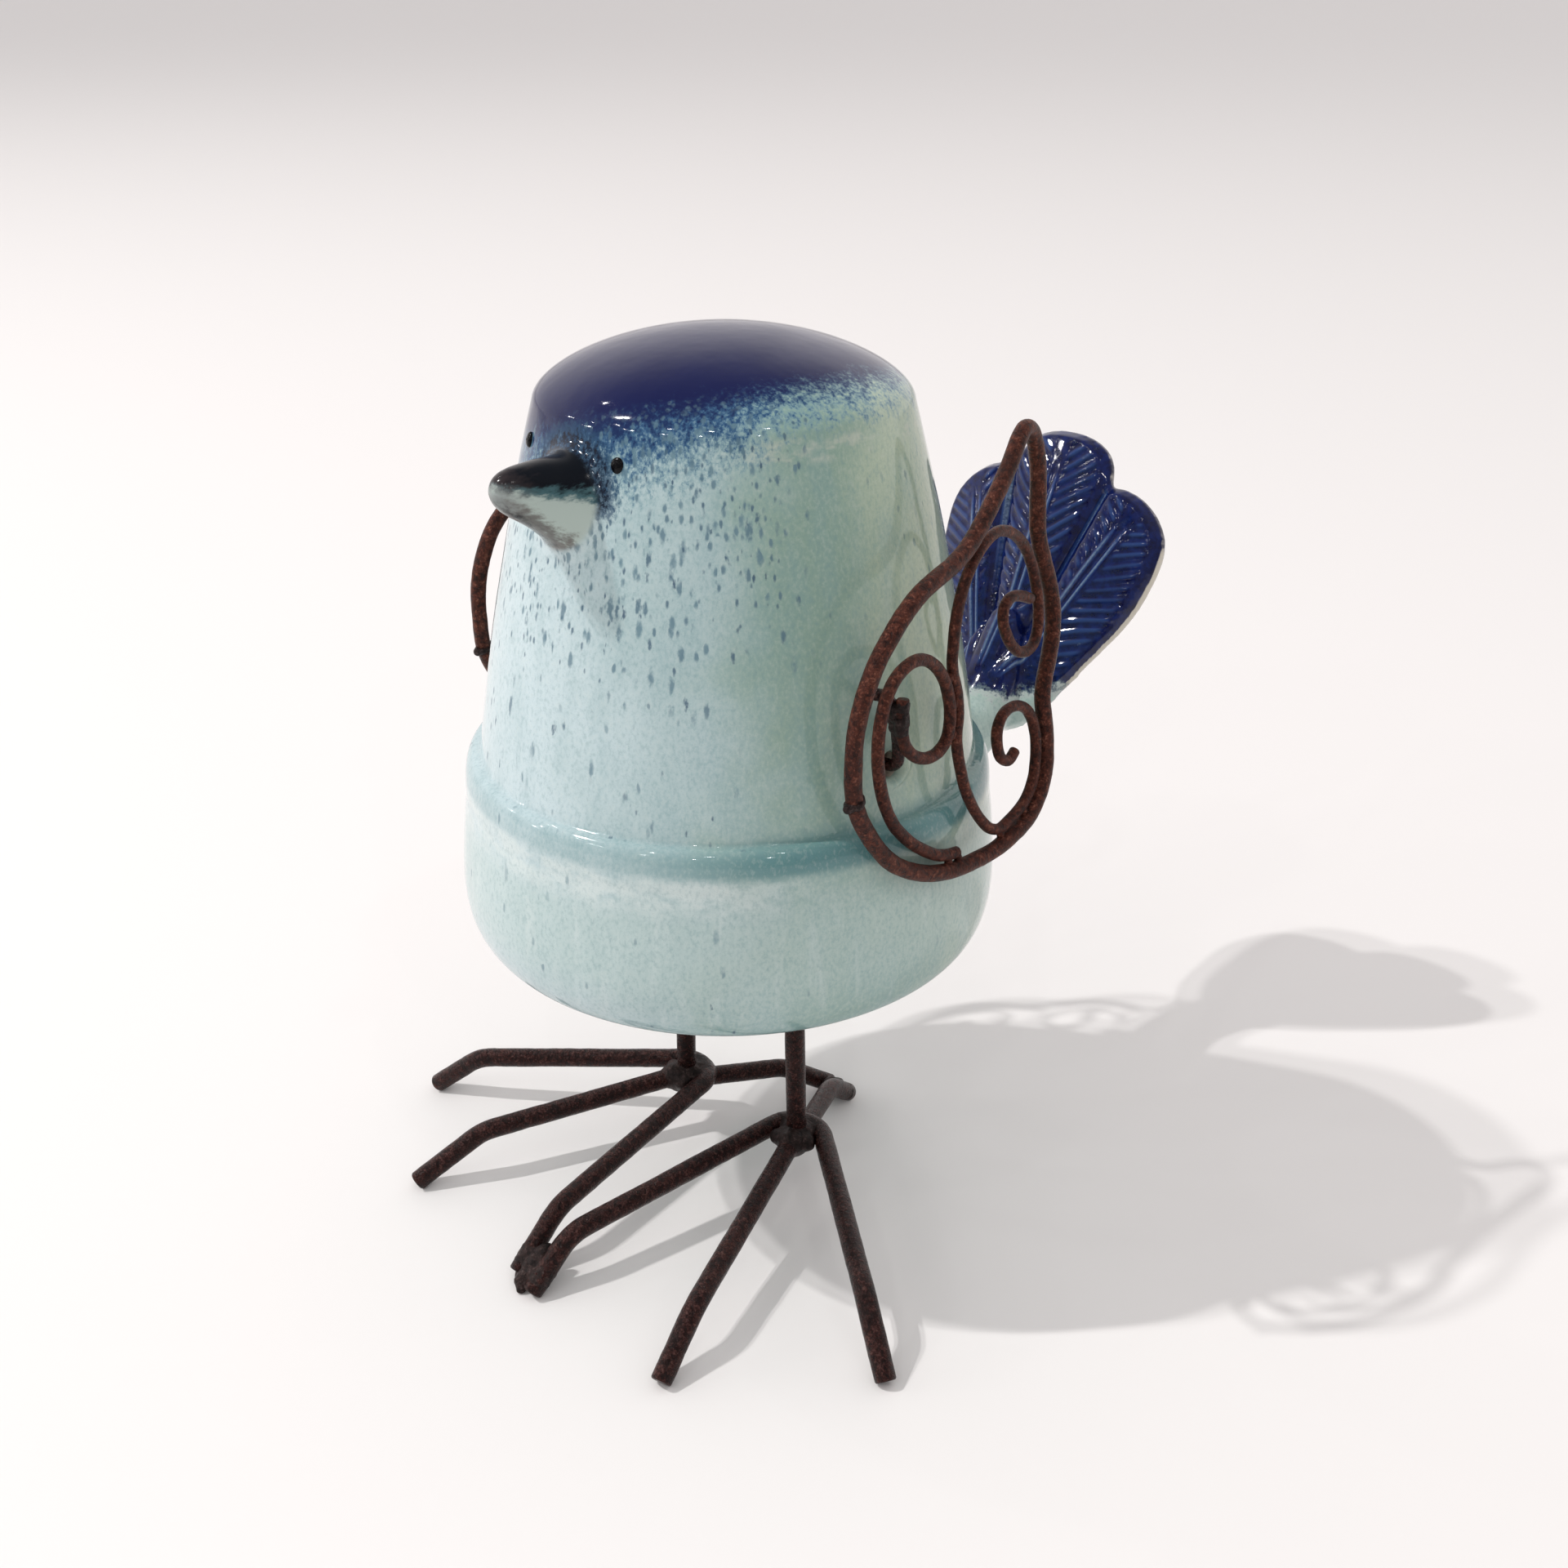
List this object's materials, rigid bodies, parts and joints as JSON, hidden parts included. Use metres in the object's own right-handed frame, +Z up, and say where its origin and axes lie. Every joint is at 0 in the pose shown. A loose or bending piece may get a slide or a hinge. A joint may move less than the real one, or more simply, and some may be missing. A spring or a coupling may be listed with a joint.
{
  "type": "bird garden ornament",
  "caption": "Hollow glazed ceramic bird shaped like an upturned flower pot, with fan tail, blunt beak and scrolled wire wings, standing on bent steel-rod legs with splayed toes.",
  "frame": {"origin": "on the ground, under the centre of the bounding box", "axes": "+Z up, the bird faces -Y, its left side is +X"},
  "size_m": [0.1996, 0.2442, 0.2576],
  "materials": {
    "glaze_aqua": "high-gloss aqua glaze, navy crown",
    "glaze_beak": "gloss navy over cream glaze",
    "glaze_cobalt": "high-gloss cobalt glaze",
    "rod": "dark mottled rust patina",
    "wing_wire": "brown rust patina",
    "weld": "rough weld bead",
    "fixing": "zinc plated",
    "rubber": "matte"
  },
  "bodies": {
    "stand_and_body": {"body_shell": "glaze_aqua", "beak": "glaze_beak", "tail": "glaze_cobalt", "leg_left": "rod", "toe_bow_left": "rod", "toe_middle_left": "rod", "toe_back_left": "rod", "foot_weld_left": "weld", "leg_nut_lower_left": "fixing", "leg_washer_lower_left": "rubber", "leg_washer_upper_left": "rubber", "leg_nut_upper_left": "fixing", "leg_right": "rod", "toe_bow_right": "rod", "toe_middle_right": "rod", "toe_back_right": "rod", "foot_weld_right": "weld", "leg_nut_lower_right": "fixing", "leg_washer_lower_right": "rubber", "leg_washer_upper_right": "rubber", "leg_nut_upper_right": "fixing", "front_toe_weld": "weld", "back_toe_weld": "weld"},
    "wing_left": {"wing_loop_left": "wing_wire", "front_scroll_left": "wing_wire", "rear_scroll_left": "wing_wire", "wing_peg_left": "wing_wire", "loop_weld_left": "weld", "peg_weld_left": "weld"},
    "wing_right": {"wing_loop_right": "wing_wire", "front_scroll_right": "wing_wire", "rear_scroll_right": "wing_wire", "wing_peg_right": "wing_wire", "loop_weld_right": "weld", "peg_weld_right": "weld"}
  },
  "joints": [
    {"name": "wing_left_pull", "type": "slide", "parent": "stand_and_body", "child": "wing_left", "axis": [1, 0, 0], "range_m": [0, 0.03]},
    {"name": "wing_right_pull", "type": "slide", "parent": "stand_and_body", "child": "wing_right", "axis": [-1, 0, 0], "range_m": [0, 0.03]}
  ]
}
